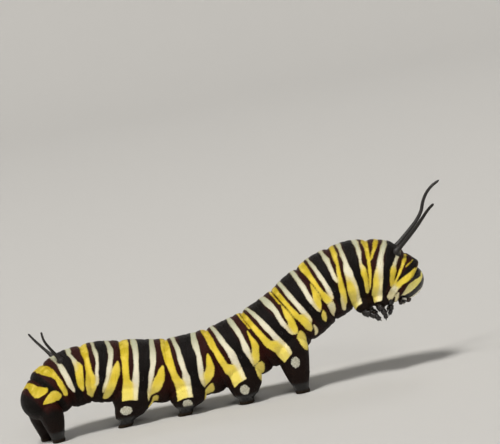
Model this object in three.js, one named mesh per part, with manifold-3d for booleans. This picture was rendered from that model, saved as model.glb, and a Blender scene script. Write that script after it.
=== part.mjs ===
// Monarch butterfly larva, life size, resting on its prolegs with its thorax raised and its head bent down.
// Millimetres, +Z up, head towards +X, the larva's right side towards -Y. The floor is z = 0.
import * as THREE from "three";
import { mergeVertices } from "three/addons/utils/BufferGeometryUtils.js";
import Module from "manifold-3d";

const wasm = await Module();
wasm.setup();

// Driving dimensions
const GAP = 0.3; // between any two pieces that touch in life
const ORIGIN = new THREE.Vector3(21.897, 2.215, 0); // middle of the larva's box, from the tail's end
const TAIL_HEIGHT = 3.45; // of the tail's end above the floor
const SIDES = 20; // of a body section
const PROLEG_SIDES = 14;
const BAR_SIDES = 10; // of a leg, feeler, jaw or filament
const STEP = 0.1; // along the body's centreline
const CUTTER_STEP = 0.5; // between the rings of the grown body that cuts the limbs
const BELLY_FULLNESS = 0.06; // share by which the belly is fuller than the back
const FOLD_DEPTH = 0.07; // share of the radius by which the skin sinks into a fold
const FOLD_WIDTH = 0.34; // reach of a fold along the body
const ANNULET_DEPTH = 0.018; // share of the radius by which a ring groove sinks
const ANNULET_WIDTH = 0.2;
const BASE_REACH = 2; // how far out a segment's leg bases may reach

// The body from tail to neck: length of each segment, then the pitch and yaw of its line, and its depth and
// width at mid length. Yaw turns the line towards the left side.
const SEGMENTS = [
  { name: "abdomen_10", length: 2.6, pitch: 27.5, yaw: 32, depth: 3.9, width: 4.1 },
  { name: "abdomen_9", length: 1.6, pitch: 26.5, yaw: 26, depth: 5.0, width: 5.0 },
  { name: "abdomen_8", length: 3.1, pitch: 8, yaw: 16, depth: 5.6, width: 5.5 },
  { name: "abdomen_7", length: 3.4, pitch: -9, yaw: 6, depth: 5.9, width: 5.8 },
  { name: "abdomen_6", length: 4.8, pitch: -12, yaw: 0, depth: 6.1, width: 6.0 },
  { name: "abdomen_5", length: 4.8, pitch: 2.5, yaw: -2, depth: 6.2, width: 6.1 },
  { name: "abdomen_4", length: 4.5, pitch: 14.5, yaw: -1, depth: 6.3, width: 6.1 },
  { name: "abdomen_3", length: 4.1, pitch: 24, yaw: 1, depth: 6.4, width: 6.1 },
  { name: "abdomen_2", length: 3.2, pitch: 33, yaw: 2, depth: 6.5, width: 6.1 },
  { name: "abdomen_1", length: 2.9, pitch: 23, yaw: 1, depth: 6.5, width: 6.0 },
  { name: "metathorax", length: 2.8, pitch: 4.5, yaw: 0, depth: 6.4, width: 5.9 },
  { name: "mesothorax", length: 2.7, pitch: -19, yaw: -1, depth: 6.1, width: 5.5 },
  { name: "prothorax", length: 1.6, pitch: -42, yaw: -2, depth: 4.7, width: 4.4 },
];
const ANNULETS = [0.27, 0.5, 0.73]; // places of the ring grooves, as shares of a long segment
const SWELLS = [0.15, 0.385, 0.615, 0.85]; // highest places between the grooves
const LONG_SEGMENT = 2.6; // segments this long carry ring grooves

const HEAD = { front: 1.45, back: 1.35, up: 1.78, side: 1.68, pitch: -46, cleft: 0.22 };
const STEMMA_RADIUS = 0.17;

// Prolegs: how far in front of its segment's middle each root and foot stands, measured along the floor, and
// half the length of its fleshy cone
const PROLEGS = {
  3: { segment: "abdomen_3", root: 1.2, foot: 1.5, cone: 1.7 },
  4: { segment: "abdomen_4", root: 0.2, foot: 0.0, cone: 1.8 },
  5: { segment: "abdomen_5", root: -0.9, foot: -1.6, cone: 1.9 },
  6: { segment: "abdomen_6", root: -1.5, foot: -2.9, cone: 2.1 },
};
const PROLEG_SIZE = { side: 1.75, soleLong: 0.78, soleWide: 0.58 };
const ANAL_PROLEG = { segment: "abdomen_10", root: 0.9, foot: 1.1, cone: 1.25 };
const ANAL_PROLEG_SIZE = { side: 1.2, soleLong: 0.74, soleWide: 0.55 };

// A leg or filament leaves the body at a share of its segment and an angle from the back's midline. Its line
// then runs through the given pitches and outward leans, one step of equal length each. A leg stands on a fleshy
// base of its segment, which stands out by a height and has a radius.
const LEGS = {
  front: {
    segment: "prothorax", share: 0.5, angle: 147, base: 0.3, baseRadius: 0.7, length: 1.5, radius: 0.36,
    pitches: [-84, -98, -124], lean: 6,
  },
  middle: {
    segment: "mesothorax", share: 0.62, angle: 148, base: 0.7, baseRadius: 0.8, length: 1.4, radius: 0.4,
    pitches: [-58, -66, -92], lean: 14,
  },
  hind: {
    segment: "metathorax", share: 0.52, angle: 151, base: 0.95, baseRadius: 0.92, length: 1.7, radius: 0.44,
    pitches: [-30, -32, -52], lean: 12,
  },
};
const FILAMENTS = {
  filament_front_left: {
    segment: "mesothorax", share: 0.8, angle: 34, length: 8.2, radius: 0.34, tip: 0.25,
    pitches: [38, 39, 40, 43, 54, 68, 58, 42, 28], leans: [8, 8, 8, 8, 6, 4, 2, 0, 0],
  },
  filament_front_right: {
    segment: "mesothorax", share: 0.8, angle: 34, length: 7.0, radius: 0.34, tip: 0.25,
    pitches: [39, 41, 43, 46, 50, 52, 50, 46], leans: [8, 10, 14, 20, 28, 38, 48, 54],
  },
  filament_rear_left: {
    segment: "abdomen_8", share: 0.32, angle: 34, length: 3.45, radius: 0.28, tip: 0.25,
    pitches: [130, 130, 128, 124], leans: [14, 14, 12, 10],
  },
  filament_rear_right: {
    segment: "abdomen_8", share: 0.32, angle: 34, length: 3.5, radius: 0.28, tip: 0.25,
    pitches: [119, 119, 113, 96], leans: [12, 12, 10, 8],
  },
};

const SIDE_SIGNS = { right: 1, left: -1 };

// Looks of the pieces
const skinBlack = new THREE.MeshStandardMaterial({ color: 0x241814, roughness: 0.6, metalness: 0 });
const skinBanded = new THREE.MeshStandardMaterial({ color: 0xd9b93a, roughness: 0.55, metalness: 0 });
const hornBlack = new THREE.MeshStandardMaterial({ color: 0x0d0b0a, roughness: 0.25, metalness: 0 });

const radians = THREE.MathUtils.degToRad;

// Ends of each segment along the centreline
let reached = 0;
for (const segment of SEGMENTS) {
  segment.start = reached;
  reached += segment.length;
  segment.end = reached;
  segment.middle = (segment.start + segment.end) / 2;
}
const BODY_LENGTH = reached;
const segmentNamed = (name) => SEGMENTS.find((segment) => segment.name === name);

// A value given at each segment's middle, read smoothly anywhere along the body
function along(s, key) {
  let i = SEGMENTS.findIndex((segment) => segment.middle > s);
  if (i === 0) return SEGMENTS[0][key];
  if (i < 0) return SEGMENTS.at(-1)[key];
  const before = SEGMENTS[i - 1];
  const after = SEGMENTS[i];
  const t = THREE.MathUtils.smoothstep(s, before.middle, after.middle);
  return THREE.MathUtils.lerp(before[key], after[key], t);
}

// Unit vector of a line with this pitch and yaw
function heading(pitch, yaw) {
  const [p, y] = [radians(pitch), radians(yaw)];
  return new THREE.Vector3(Math.cos(p) * Math.cos(y), Math.cos(p) * Math.sin(y), Math.sin(p));
}

// The centreline, stepped from the tail's end
const line = [new THREE.Vector3(0, 0, TAIL_HEIGHT)];
for (let i = 1; i * STEP <= BODY_LENGTH + STEP; i++) {
  const s = (i - 0.5) * STEP;
  line.push(line.at(-1).clone().addScaledVector(heading(along(s, "pitch"), along(s, "yaw")), STEP));
}

// Centre of the body's section at s, with its forward, right and up directions
function station(s) {
  const i = THREE.MathUtils.clamp(Math.floor(s / STEP), 0, line.length - 2);
  const centre = line[i].clone().lerp(line[i + 1], s / STEP - i);
  const forward = heading(along(s, "pitch"), along(s, "yaw"));
  const right = new THREE.Vector3(forward.y, -forward.x, 0).normalize();
  const up = new THREE.Vector3().crossVectors(right, forward);
  return { centre, forward, right, up };
}

const bump = (distance, width) => Math.exp(-((distance / width) ** 2));

// Share of the full radius that the skin has at s. It sinks at the folds and grooves, and closes at the tail.
function swell(s) {
  let share = 1;
  for (const segment of SEGMENTS) {
    if (segment.start > 0) share -= FOLD_DEPTH * bump(s - segment.start, FOLD_WIDTH);
    if (segment.length < LONG_SEGMENT || segment.start === 0) continue;
    for (const place of ANNULETS) {
      share -= ANNULET_DEPTH * bump(s - segment.start - place * segment.length, ANNULET_WIDTH);
    }
  }
  const tail = segmentNamed("abdomen_10");
  const t = THREE.MathUtils.clamp(s / tail.length, 0, 1);
  return share * Math.pow(1 - (1 - t) ** 2.6, 0.5);
}

// Point of the skin at s, at an angle from the back's midline towards the right side, grown outwards
function skin(s, angle, grow = 0) {
  const { centre, right, up } = station(s);
  const share = swell(s);
  const c = Math.cos(angle);
  const fullness = c < 0 ? 1 - BELLY_FULLNESS * c : 1;
  const across = ((along(s, "width") / 2) * share + grow) * Math.sin(angle);
  const upward = ((along(s, "depth") / 2) * share + grow) * c * fullness;
  return centre.addScaledVector(right, across).addScaledVector(up, upward);
}

// Closed mesh through rings of points with the same count, capped at both ends
function loft(rings) {
  const count = rings[0].length;
  const points = rings.flat();
  const faces = [];
  for (let r = 0; r + 1 < rings.length; r++) {
    for (let i = 0; i < count; i++) {
      const [a, b] = [r * count + i, r * count + ((i + 1) % count)];
      faces.push(a, b, a + count, b, b + count, a + count);
    }
  }
  const cap = (r, turned) => {
    const middle = points.length;
    const sum = rings[r].reduce((total, point) => total.add(point), new THREE.Vector3());
    points.push(sum.divideScalar(count));
    const first = r * count;
    for (let i = 0; i < count; i++) {
      const [a, b] = [first + i, first + ((i + 1) % count)];
      faces.push(...(turned ? [middle, b, a] : [middle, a, b]));
    }
  };
  cap(0, true);
  cap(rings.length - 1, false);
  return new THREE.BufferGeometry().setFromPoints(points).setIndex(faces);
}

// A closed geometry as a solid that can be joined and cut
function solid(geometry) {
  const bare = geometry.clone();
  for (const name of Object.keys(bare.attributes)) {
    if (name !== "position") bare.deleteAttribute(name);
  }
  const merged = mergeVertices(bare, 1e-4);
  const made = new wasm.Manifold(
    new wasm.Mesh({
      numProp: 3,
      vertProperties: new Float32Array(merged.attributes.position.array),
      triVerts: new Uint32Array(merged.index.array),
    }),
  );
  return made.volume() < 0 ? solid(turnedOut(merged)) : made;
}

function turnedOut(geometry) {
  const index = Array.from(geometry.index.array);
  for (let i = 0; i < index.length; i += 3) [index[i + 1], index[i + 2]] = [index[i + 2], index[i + 1]];
  return geometry.clone().setIndex(index);
}

// The largest closed piece of a solid, as a named mesh
function piece(name, made, material) {
  const largest = made.decompose().sort((a, b) => b.volume() - a.volume())[0];
  const { vertProperties, triVerts } = largest.getMesh();
  const geometry = new THREE.BufferGeometry()
    .setAttribute("position", new THREE.BufferAttribute(vertProperties, 3))
    .setIndex(new THREE.BufferAttribute(triVerts, 1));
  geometry.computeVertexNormals();
  const mesh = new THREE.Mesh(geometry, material);
  mesh.name = name;
  return mesh;
}

// Ring of the skin round the body at s
function skinRing(s, grow) {
  const ring = [];
  for (let i = 0; i < SIDES; i++) ring.push(skin(s, (-2 * Math.PI * i) / SIDES, grow));
  return ring;
}

// Where the rings of one segment lie: at its ends, beside its folds, and in and between its grooves
function ringPlaces(segment) {
  const from = segment.start === 0 ? 0.02 : segment.start + GAP / 2;
  const to = segment.end - GAP / 2;
  const places = segment.start === 0 ? [0.08, 0.22, 0.45, 0.8, 1.3, 1.9, 2.3] : [from + 0.25, to - 0.25];
  if (segment.length >= LONG_SEGMENT && segment.start > 0) {
    for (const place of [...ANNULETS, ...SWELLS]) places.push(segment.start + place * segment.length);
  }
  const inside = places.filter((s) => s > from + 0.05 && s < to - 0.05).sort((a, b) => a - b);
  return [from, ...inside, to];
}

// The whole body grown outwards, which cuts what grows from it
function grownBody(grow) {
  const rings = [];
  for (let s = 0.02; s < BODY_LENGTH; s += CUTTER_STEP) rings.push(skinRing(s, grow));
  return solid(loft(rings));
}

// Head: an egg-shaped capsule with a cleft at its crown, bent down at the neck
const neck = station(BODY_LENGTH).centre;
const headFrame = new THREE.Matrix4();
{
  const forward = heading(HEAD.pitch, along(BODY_LENGTH, "yaw"));
  const right = new THREE.Vector3(forward.y, -forward.x, 0).normalize();
  const up = new THREE.Vector3().crossVectors(right, forward);
  headFrame.makeBasis(forward, right.clone().negate(), up).setPosition(neck);
}

// Point of the head's surface in the head's own frame, at a unit direction, grown outwards
function headPoint(direction, grow = 0) {
  const { front, back, up, side, cleft } = HEAD;
  const depth = direction.x > 0 ? front : back;
  const crown = Math.max(direction.z, 0) ** 2 * cleft * bump(direction.y, 0.16);
  const jaw = direction.z < 0 ? 1 - 0.14 * direction.z ** 2 : 1;
  return new THREE.Vector3(
    direction.x * (depth + grow),
    direction.y * (side * jaw + grow),
    direction.z * (up + grow) - crown,
  );
}

function headSolid(grow, across, down) {
  const geometry = new THREE.SphereGeometry(1, across, down);
  geometry.rotateX(Math.PI / 2);
  const position = geometry.attributes.position;
  for (let i = 0; i < position.count; i++) {
    const direction = new THREE.Vector3().fromBufferAttribute(position, i).normalize();
    const point = headPoint(direction, grow);
    position.setXYZ(i, point.x, point.y, point.z);
  }
  return solid(geometry.applyMatrix4(headFrame));
}

// Unit direction in the head's frame: angles out to one side and up from straight ahead
function headDirection(side, up) {
  const [a, b] = [radians(side), radians(up)];
  return new THREE.Vector3(Math.cos(a) * Math.cos(b), -Math.sin(a) * Math.cos(b), Math.sin(b));
}

// Six simple eyes low on each cheek
function stemmata(sign) {
  const beads = [];
  for (let i = 0; i < 6; i++) {
    const turn = radians(-60 + i * 48);
    const side = 62 + 11 * Math.cos(turn);
    const up = -24 + 13 * Math.sin(turn);
    const bead = new THREE.IcosahedronGeometry(STEMMA_RADIUS, 1);
    const centre = headPoint(headDirection(sign * side, up), -0.04).applyMatrix4(headFrame);
    beads.push(solid(bead.translate(centre.x, centre.y, centre.z)));
  }
  return beads;
}

// A round bar along points, with a radius for each of them, closed at both ends
function bar(points, radii) {
  const rings = points.map((point, i) => {
    const before = points[Math.max(i - 1, 0)];
    const after = points[Math.min(i + 1, points.length - 1)];
    const direction = after.clone().sub(before).normalize();
    const across = new THREE.Vector3(0, 1, 0).addScaledVector(direction, -direction.y).normalize();
    const upward = new THREE.Vector3().crossVectors(direction, across);
    const ring = [];
    for (let k = 0; k < BAR_SIDES; k++) {
      const turn = (2 * Math.PI * k) / BAR_SIDES;
      ring.push(
        point
          .clone()
          .addScaledVector(across, radii[i] * Math.cos(turn))
          .addScaledVector(upward, radii[i] * Math.sin(turn)),
      );
    }
    return ring;
  });
  return solid(loft(rings));
}

// Points of a line that starts inside the body and runs through pitches and outward leans of equal length
function limbLine(root, inward, sign, length, pitches, leans) {
  const points = [root.clone().add(inward), root.clone()];
  const step = length / pitches.length;
  pitches.forEach((pitch, i) => {
    const lean = radians(leans[i]);
    const direction = heading(pitch, 0).multiplyScalar(Math.cos(lean));
    direction.y -= sign * Math.sin(lean);
    points.push(points.at(-1).clone().addScaledVector(direction, step));
  });
  return points;
}

// Where a limb leaves the skin, and the way into the body from there
function rootOf({ segment, share, angle }, sign) {
  const { start, length } = segmentNamed(segment);
  const s = start + share * length;
  const root = skin(s, sign * radians(angle));
  return { root, inward: station(s).centre.sub(root).normalize().multiplyScalar(1.1) };
}

function filament(shape, sign) {
  const { root, inward } = rootOf(shape, sign);
  const points = limbLine(root, inward, sign, shape.length, shape.pitches, shape.leans);
  const radii = points.map((_, i) => {
    const t = Math.max(i - 1, 0) / (points.length - 2);
    return THREE.MathUtils.lerp(shape.radius, shape.tip, Math.min(t * 1.6, 1));
  });
  radii[0] = shape.radius * 1.5;
  radii[1] = shape.radius * 1.25;
  const end = points.at(-1).clone().sub(points.at(-2)).normalize();
  points.push(points.at(-1).clone().addScaledVector(end, shape.tip * 0.9));
  radii.push(shape.tip * 0.45);
  return bar(points, radii);
}

// The fleshy base of a leg, grown outwards, kept between the ends of its segment
function legBase(shape, sign, grow = 0) {
  const { start, end, length } = segmentNamed(shape.segment);
  const { root, inward } = rootOf(shape, sign);
  const out = inward.clone().normalize().negate();
  const path = [-1.6, -0.2, shape.base * 0.55, shape.base + grow].map((d) => root.clone().addScaledVector(out, d));
  const cone = bar(path, [1.3, 1.25, 1, 0.62].map((share) => shape.baseRadius * share + grow));
  if (grow > 0) return cone;
  const slab = [start + GAP, start + length / 2, end - GAP].map((s) => skinRing(s, BASE_REACH));
  return cone.intersect(solid(loft(slab)));
}

// Three jointed lengths and a claw
function leg(shape, sign) {
  const { root, inward } = rootOf(shape, sign);
  root.addScaledVector(inward, -shape.base / inward.length());
  const points = limbLine(root, inward, sign, shape.length, shape.pitches, [shape.lean, shape.lean / 2, 0]);
  const path = [points[0], points[1]];
  const radii = [shape.radius * 1.3, shape.radius * 1.15];
  const thickness = [1, 0.82, 0.64];
  for (let i = 1; i + 1 < points.length; i++) {
    const [from, to] = [points[i], points[i + 1]];
    path.push(from.clone().lerp(to, 0.3), from.clone().lerp(to, 0.8));
    radii.push(shape.radius * thickness[i - 1], shape.radius * thickness[i - 1] * 0.92);
  }
  path.push(points.at(-1));
  radii.push(0.1);
  return bar(path, radii);
}

// A proleg: a broad fleshy cone, a narrow ankle and a flat sole on the floor
function proleg(place, size, sign) {
  const { middle, depth } = segmentNamed(place.segment);
  const { centre, forward, right } = station(middle);
  const level = new THREE.Vector3(forward.x, forward.y, 0).normalize();
  const side = right.clone().multiplyScalar(sign * size.side);
  const root = centre.clone().addScaledVector(level, place.root).add(side);
  const foot = centre.clone().addScaledVector(level, place.foot).add(side);
  const slope = forward.z / Math.hypot(forward.x, forward.y);
  const belly = centre.z + place.root * slope - (depth / 2) * (1 + BELLY_FULLNESS);
  const top = belly + 1.9;
  // Height, half length along the body and half width across it, from the floor up
  const profile = [
    [0, size.soleLong * 0.92, size.soleWide * 0.9],
    [0.12, size.soleLong, size.soleWide],
    [0.3, size.soleLong, size.soleWide],
    [0.42, size.soleLong * 0.9, size.soleWide * 0.94],
    [0.62, size.soleLong * 1.04, size.soleWide * 1.12],
    [Math.max(0.95, belly * 0.5), place.cone * 0.7, size.soleWide * 1.6],
    [Math.max(1.35, belly * 0.95), place.cone * 0.93, size.soleWide * 2.0],
    [belly + 0.7, place.cone, size.soleWide * 2.2],
    [top, place.cone * 0.95, size.soleWide * 1.8],
  ];
  const rings = profile.map(([height, long, wide]) => {
    const heart = foot.clone().lerp(root, Math.min(height / belly, 1)).setZ(height);
    const ring = [];
    for (let k = 0; k < PROLEG_SIDES; k++) {
      const turn = (2 * Math.PI * k) / PROLEG_SIDES;
      ring.push(
        heart
          .clone()
          .addScaledVector(level, long * Math.cos(turn))
          .addScaledVector(right, wide * Math.sin(turn)),
      );
    }
    return ring;
  });
  return solid(loft(rings));
}

// Feelers and mouthparts, set on the head
function antenna(sign) {
  const root = headPoint(headDirection(sign * 64, -44), -0.3);
  const way = headDirection(sign * 48, -46);
  const points = [0, 0.42, 0.66, 0.71, 0.93, 1.05].map((d) =>
    root.clone().addScaledVector(way, d).applyMatrix4(headFrame),
  );
  return bar(points, [0.34, 0.34, 0.31, 0.27, 0.26, 0.14]);
}

function mandible(sign) {
  const root = headPoint(headDirection(sign * 35, -68), -0.35).setY(-sign * 0.45);
  const points = [0, 0.4, 0.75, 0.98].map((d) =>
    root
      .clone()
      .add(new THREE.Vector3(d * 0.3, 0, -d))
      .applyMatrix4(headFrame),
  );
  return bar(points, [0.3, 0.3, 0.28, 0.16]);
}

function labrum(grow = 0) {
  const root = headPoint(headDirection(0, -50), 0);
  const block = new THREE.SphereGeometry(1, 14, 8).scale(0.42 + grow, 0.62 + grow, 0.4 + grow);
  return solid(block.translate(root.x, root.y, root.z).applyMatrix4(headFrame));
}

const larva = new THREE.Group();
const frame = new THREE.Group();
frame.position.copy(ORIGIN).negate();
larva.add(frame);

let cutter = grownBody(GAP);
let grownHead = headSolid(GAP, 24, 16);

// Body segments, the first of the thorax hollowed for the back of the head
for (const segment of SEGMENTS) {
  let made = solid(loft(ringPlaces(segment).map((s) => skinRing(s, 0))));
  for (const shape of Object.values(LEGS).filter((shape) => shape.segment === segment.name)) {
    made = made.add(legBase(shape, 1)).add(legBase(shape, -1));
  }
  if (segment.name === "prothorax") made = made.subtract(grownHead);
  frame.add(piece(segment.name, made, skinBanded));
}

// Head with its upper lip and eyes
let capsule = headSolid(0, 24, 16).add(labrum());
for (const bead of [...stemmata(1), ...stemmata(-1)]) capsule = capsule.add(bead);
frame.add(piece("head", capsule, skinBanded));

// Limbs, feelers and jaws, cut clear of the body with its leg bases and of the head with its lip
grownHead = grownHead.add(labrum(GAP));
for (const shape of Object.values(LEGS)) {
  cutter = cutter.add(legBase(shape, 1, GAP)).add(legBase(shape, -1, GAP));
}
for (const [name, sign] of Object.entries(SIDE_SIGNS)) {
  frame.add(piece(`antenna_${name}`, antenna(sign).subtract(grownHead), hornBlack));
  frame.add(piece(`mandible_${name}`, mandible(sign).subtract(grownHead), hornBlack));
  for (const [place, shape] of Object.entries(LEGS)) {
    const made = leg(shape, sign).subtract(cutter).subtract(grownHead);
    frame.add(piece(`leg_${place}_${name}`, made, hornBlack));
  }
  for (const [number, place] of Object.entries(PROLEGS)) {
    const made = proleg(place, PROLEG_SIZE, sign).subtract(cutter);
    frame.add(piece(`proleg_${number}_${name}`, made, skinBlack));
  }
  const anal = proleg(ANAL_PROLEG, ANAL_PROLEG_SIZE, sign).subtract(cutter);
  frame.add(piece(`proleg_anal_${name}`, anal, skinBlack));
}

for (const [name, shape] of Object.entries(FILAMENTS)) {
  const sign = name.endsWith("right") ? 1 : -1;
  frame.add(piece(name, filament(shape, sign).subtract(cutter), skinBlack));
}

export default larva;
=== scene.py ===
"""Looks of the butterfly larva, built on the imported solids. Lengths are millimetres until a mesh is made."""

import math

import bpy
import numpy as np
from mathutils import Matrix


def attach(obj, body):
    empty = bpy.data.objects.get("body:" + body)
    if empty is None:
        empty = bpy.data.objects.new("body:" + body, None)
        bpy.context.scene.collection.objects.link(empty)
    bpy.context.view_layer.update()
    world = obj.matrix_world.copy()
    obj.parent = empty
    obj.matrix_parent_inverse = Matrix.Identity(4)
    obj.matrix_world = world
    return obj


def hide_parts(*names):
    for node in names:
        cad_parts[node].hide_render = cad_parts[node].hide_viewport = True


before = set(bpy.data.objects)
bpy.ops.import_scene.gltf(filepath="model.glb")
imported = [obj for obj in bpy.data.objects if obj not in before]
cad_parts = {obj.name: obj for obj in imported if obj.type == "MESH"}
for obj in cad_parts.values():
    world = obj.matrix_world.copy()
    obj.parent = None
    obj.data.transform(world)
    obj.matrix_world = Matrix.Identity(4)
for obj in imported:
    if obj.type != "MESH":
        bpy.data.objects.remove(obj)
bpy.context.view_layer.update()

# One millimetre in metres
MILLIMETRE = 0.001

# The body's line, from the same sizes as the solids: length, pitch, yaw, depth and width of each segment
ORIGIN = np.array([21.897, 2.215, 0.0])
TAIL_HEIGHT = 3.45
STEP = 0.1
BELLY_FULLNESS = 0.06
SEGMENTS = {
    "abdomen_10": (2.6, 27.5, 32, 3.9, 4.1),
    "abdomen_9": (1.6, 26.5, 26, 5.0, 5.0),
    "abdomen_8": (3.1, 8, 16, 5.6, 5.5),
    "abdomen_7": (3.4, -9, 6, 5.9, 5.8),
    "abdomen_6": (4.8, -12, 0, 6.1, 6.0),
    "abdomen_5": (4.8, 2.5, -2, 6.2, 6.1),
    "abdomen_4": (4.5, 14.5, -1, 6.3, 6.1),
    "abdomen_3": (4.1, 24, 1, 6.4, 6.1),
    "abdomen_2": (3.2, 33, 2, 6.5, 6.1),
    "abdomen_1": (2.9, 23, 1, 6.5, 6.0),
    "metathorax": (2.8, 4.5, 0, 6.4, 5.9),
    "mesothorax": (2.7, -19, -1, 6.1, 5.5),
    "prothorax": (1.6, -42, -2, 4.7, 4.4),
}
PITCH, YAW, DEPTH, WIDTH = 1, 2, 3, 4
NAMES = list(SEGMENTS)
SHAPE = np.array([SEGMENTS[name] for name in NAMES], float)
LENGTHS = SHAPE[:, 0]
STARTS = np.concatenate([[0], np.cumsum(LENGTHS)[:-1]])
MIDDLES = STARTS + LENGTHS / 2
BODY_LENGTH = float(LENGTHS.sum())
SIDES = {"right": 1, "left": -1}

# How round the tail is, and the length and the narrowing of the collar behind the head
TAIL_ROUNDNESS = 2.6
COLLAR_LENGTH = 0.42
COLLAR_NARROWING = 0.34

# Relief of the skin: folds and the crease in each, and ring grooves at shares of the longer segments
FOLD_DEPTH = 0.11
FOLD_REACH = 0.42
CREASE_DEPTH = 0.15
CREASE_REACH = 0.13
ANNULETS = (0.27, 0.5, 0.73)
LONG_SEGMENT = 2.6
ANNULET_DEPTH = 0.042
ANNULET_REACH = 0.13

# The fleshy ridge above the prolegs, and the hollow over it: angle from the back, reach, and height or depth
RIDGE = (119, 13, 0.09)
HOLLOW = (101, 9, 0.06)

# Height of the faint waves all over the skin, and the size of the cells that it is remeshed with
RIPPLE = 0.012
VOXEL = 0.115

# Head: its half sizes, its pitch in degrees and the depth of the cleft along its crown
HEAD = {"front": 1.45, "back": 1.35, "up": 1.78, "side": 1.68, "pitch": -46, "cleft": 0.22}

# Pale bands of the head: an up angle, then the front and rear edges as side angles
OUTER_BAND = [(68, 34, 58), (46, 43, 61), (25, 52, 80), (5, 60, 90), (-20, 68, 98), (-41, 74, 100),
              (-51, 82, 90)]
INNER_BAND = [(48, 4, 9), (12, 7, 20), (0, 9, 33), (-20, 10, 39), (-37, 11, 36), (-46, 13, 26)]

# How far in front of its segment's middle each proleg's root and foot stand, half the length of its cone, and
# where its white dot is: forward of the foot, above the floor, and its half length and half height
PROLEGS = {
    "3": ("abdomen_3", 1.2, 1.5, 1.7, (-0.2, 3.3, 0.42, 0.55)),
    "4": ("abdomen_4", 0.2, 0.0, 1.8, (0.1, 1.6, 0.44, 0.5)),
    "5": ("abdomen_5", -0.9, -1.6, 1.9, (0.6, 1.25, 0.5, 0.47)),
    "6": ("abdomen_6", -1.5, -2.9, 2.1, (0.55, 1.75, 0.6, 0.44)),
}
PROLEG_SIZE = {"side": 1.75, "long": 0.78, "wide": 0.58}
ANAL_PROLEG = ("abdomen_10", 0.9, 1.1, 1.25, None)
ANAL_PROLEG_SIZE = {"side": 1.2, "long": 0.74, "wide": 0.55}

# Segment, share along it, angle from the back's midline, length, radius, then pitches and outward leans
LEGS = {
    "front": ("prothorax", 0.5, 147, 1.5, 0.36, (-84, -98, -124), (6, 3, 0)),
    "middle": ("mesothorax", 0.62, 148, 1.4, 0.4, (-58, -66, -92), (14, 7, 0)),
    "hind": ("metathorax", 0.52, 151, 1.7, 0.44, (-30, -32, -52), (12, 6, 0)),
}
# How far each leg's fleshy base stands out, and its radius
LEG_BASES = {"front": (0.3, 0.7), "middle": (0.7, 0.8), "hind": (0.95, 0.92)}
FRONT_LEFT = ((38, 39, 40, 43, 54, 68, 58, 42, 28), (8, 8, 8, 8, 6, 4, 2, 0, 0))
FRONT_RIGHT = ((39, 41, 43, 46, 50, 52, 50, 46), (8, 10, 14, 20, 28, 38, 48, 54))
REAR_LEFT = ((130, 130, 128, 124), (14, 14, 12, 10))
REAR_RIGHT = ((119, 119, 113, 96), (12, 12, 10, 8))
FILAMENTS = {
    "filament_front_left": ("mesothorax", 0.8, 34, 8.2, 0.23, *FRONT_LEFT),
    "filament_front_right": ("mesothorax", 0.8, 34, 7.0, 0.22, *FRONT_RIGHT),
    "filament_rear_left": ("abdomen_8", 0.32, 34, 3.45, 0.18, *REAR_LEFT),
    "filament_rear_right": ("abdomen_8", 0.32, 34, 3.5, 0.18, *REAR_RIGHT),
}

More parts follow.
